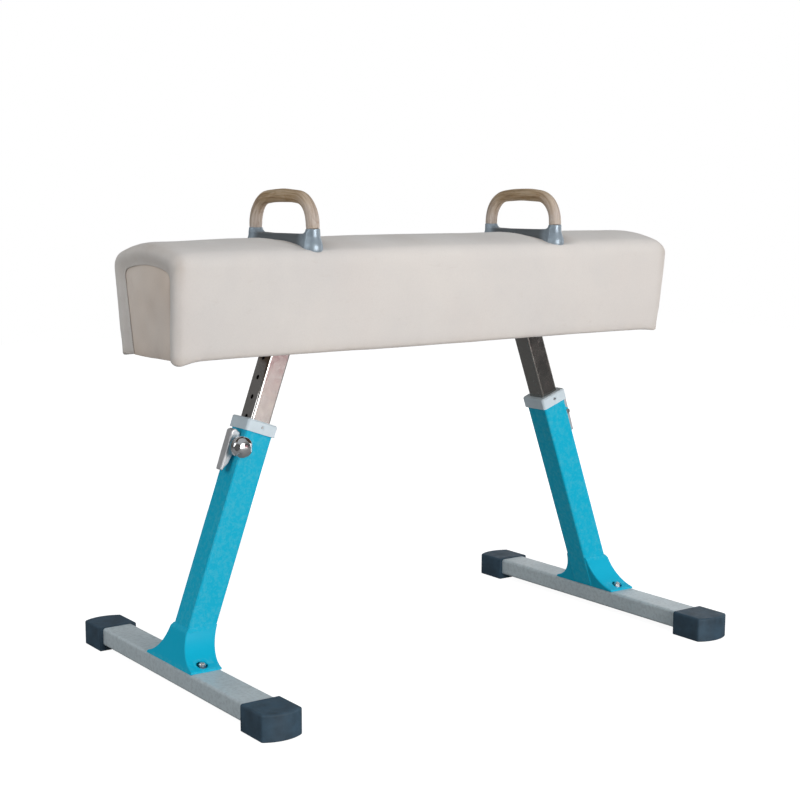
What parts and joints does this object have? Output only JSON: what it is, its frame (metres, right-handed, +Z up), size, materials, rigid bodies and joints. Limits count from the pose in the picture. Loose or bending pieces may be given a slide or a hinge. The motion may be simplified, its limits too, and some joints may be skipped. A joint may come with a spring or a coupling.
{
  "type": "pommel horse",
  "caption": "Padded leather gymnastics horse with arched wooden grips on cast bases, on splayed telescopic legs with latches, clamp knobs and rubber-capped foot beams.",
  "frame": {"origin": "centre of the footprint, on the floor", "axes": "+X along the horse, +Y across it, +Z up"},
  "size_m": [1.606, 1.008, 1.2769],
  "materials": {
    "cover_leather": "soft satin, fine grain",
    "end_panel_leather": "matt, fine grain",
    "foam": "open-cell foam",
    "plywood": "sanded, unvarnished",
    "grip_wood": "worn, satin",
    "pommel_metal": "satin, slightly worn",
    "chromed_tube": "polished",
    "teal_paint": "gloss powder coat",
    "grey_paint": "satin powder coat",
    "rubber": "matt",
    "collar_plastic": "satin moulded",
    "dark_plastic": "matt moulded",
    "cast_aluminium": "satin die-cast",
    "knob_chrome": "polished",
    "zinc_steel": "bright zinc plated"
  },
  "bodies": {
    "horse": {"leather_cover": "cover_leather", "left_end_panel": "end_panel_leather", "right_end_panel": "end_panel_leather", "foam_padding": "foam", "core_deck_board": "plywood", "core_top_board": "plywood", "core_front_board": "plywood", "core_back_board": "plywood", "core_end_boards": "plywood", "core_bulkheads": "plywood", "bottom_panel": "plywood", "bottom_panel_screws": "zinc_steel", "left_leg_socket": "zinc_steel", "right_leg_socket": "zinc_steel", "socket_cross_bolts": "zinc_steel", "socket_flange_screws": "zinc_steel", "left_inner_tube": "chromed_tube", "right_inner_tube": "chromed_tube", "left_glide_plug": "dark_plastic", "right_glide_plug": "dark_plastic", "left_pommel_base": "pommel_metal", "right_pommel_base": "pommel_metal", "left_pommel_grip": "grip_wood", "right_pommel_grip": "grip_wood", "pommel_bolts": "zinc_steel", "pommel_anchor_plates": "zinc_steel", "pommel_nuts": "zinc_steel"},
    "left_leg": {"left_outer_tube": "teal_paint", "left_guide_bush": "dark_plastic", "left_collar": "collar_plastic", "left_collar_screws": "zinc_steel", "left_latch_lugs": "teal_paint", "left_pivot_stud": "zinc_steel", "left_plunger_bush": "zinc_steel", "left_foot_beam": "grey_paint", "left_front_foot_cap": "rubber", "left_back_foot_cap": "rubber", "left_foot_bracket": "teal_paint", "left_foot_bolts": "zinc_steel", "left_foot_nuts": "zinc_steel"},
    "left_latch": {"left_latch_lever": "cast_aluminium"},
    "left_plunger": {"left_index_plunger": "zinc_steel"},
    "left_knob": {"left_clamp_knob": "knob_chrome"},
    "right_leg": {"right_outer_tube": "teal_paint", "right_guide_bush": "dark_plastic", "right_collar": "collar_plastic", "right_collar_screws": "zinc_steel", "right_latch_lugs": "teal_paint", "right_pivot_stud": "zinc_steel", "right_plunger_bush": "zinc_steel", "right_foot_beam": "grey_paint", "right_front_foot_cap": "rubber", "right_back_foot_cap": "rubber", "right_foot_bracket": "teal_paint", "right_foot_bolts": "zinc_steel", "right_foot_nuts": "zinc_steel"},
    "right_latch": {"right_latch_lever": "cast_aluminium"},
    "right_plunger": {"right_index_plunger": "zinc_steel"},
    "right_knob": {"right_clamp_knob": "knob_chrome"}
  },
  "joints": [
    {"name": "left_leg_slide", "type": "slide", "parent": "horse", "child": "left_leg", "axis": [-0.3392, 0, -0.9407], "range_m": [-0.15975, 0.1065]},
    {"name": "left_latch_hinge", "type": "hinge", "parent": "left_leg", "child": "left_latch", "pos_m": [-0.57013, 0, 0.61954], "axis": [0, -1, 0], "range_deg": [0, 10.5], "stiffness_Nm_per_rad": 4, "springref_deg": -4.58},
    {"name": "left_plunger_slide", "type": "slide", "parent": "left_leg", "child": "left_plunger", "axis": [-0.9407, 0, 0.3392], "range_m": [0, 0.0056]},
    {"name": "left_knob_turn", "type": "hinge", "parent": "left_leg", "child": "left_knob", "pos_m": [-0.57013, 0, 0.61954], "axis": [0, -1, 0], "range_deg": [0, 180]},
    {"name": "right_leg_slide", "type": "slide", "parent": "horse", "child": "right_leg", "axis": [0.3392, 0, -0.9407], "range_m": [-0.15975, 0.1065]},
    {"name": "right_latch_hinge", "type": "hinge", "parent": "right_leg", "child": "right_latch", "pos_m": [0.57013, 0, 0.61954], "axis": [0, 1, 0], "range_deg": [0, 10.5], "stiffness_Nm_per_rad": 4, "springref_deg": -4.58},
    {"name": "right_plunger_slide", "type": "slide", "parent": "right_leg", "child": "right_plunger", "axis": [0.9407, 0, 0.3392], "range_m": [0, 0.0056]},
    {"name": "right_knob_turn", "type": "hinge", "parent": "right_leg", "child": "right_knob", "pos_m": [0.57013, 0, 0.61954], "axis": [0, 1, 0], "range_deg": [0, 180]}
  ],
  "couplings": [
    {"joint": "left_plunger_slide", "follows": "left_latch_hinge", "m_per_rad": 0.029},
    {"joint": "right_plunger_slide", "follows": "right_latch_hinge", "m_per_rad": 0.029}
  ]
}
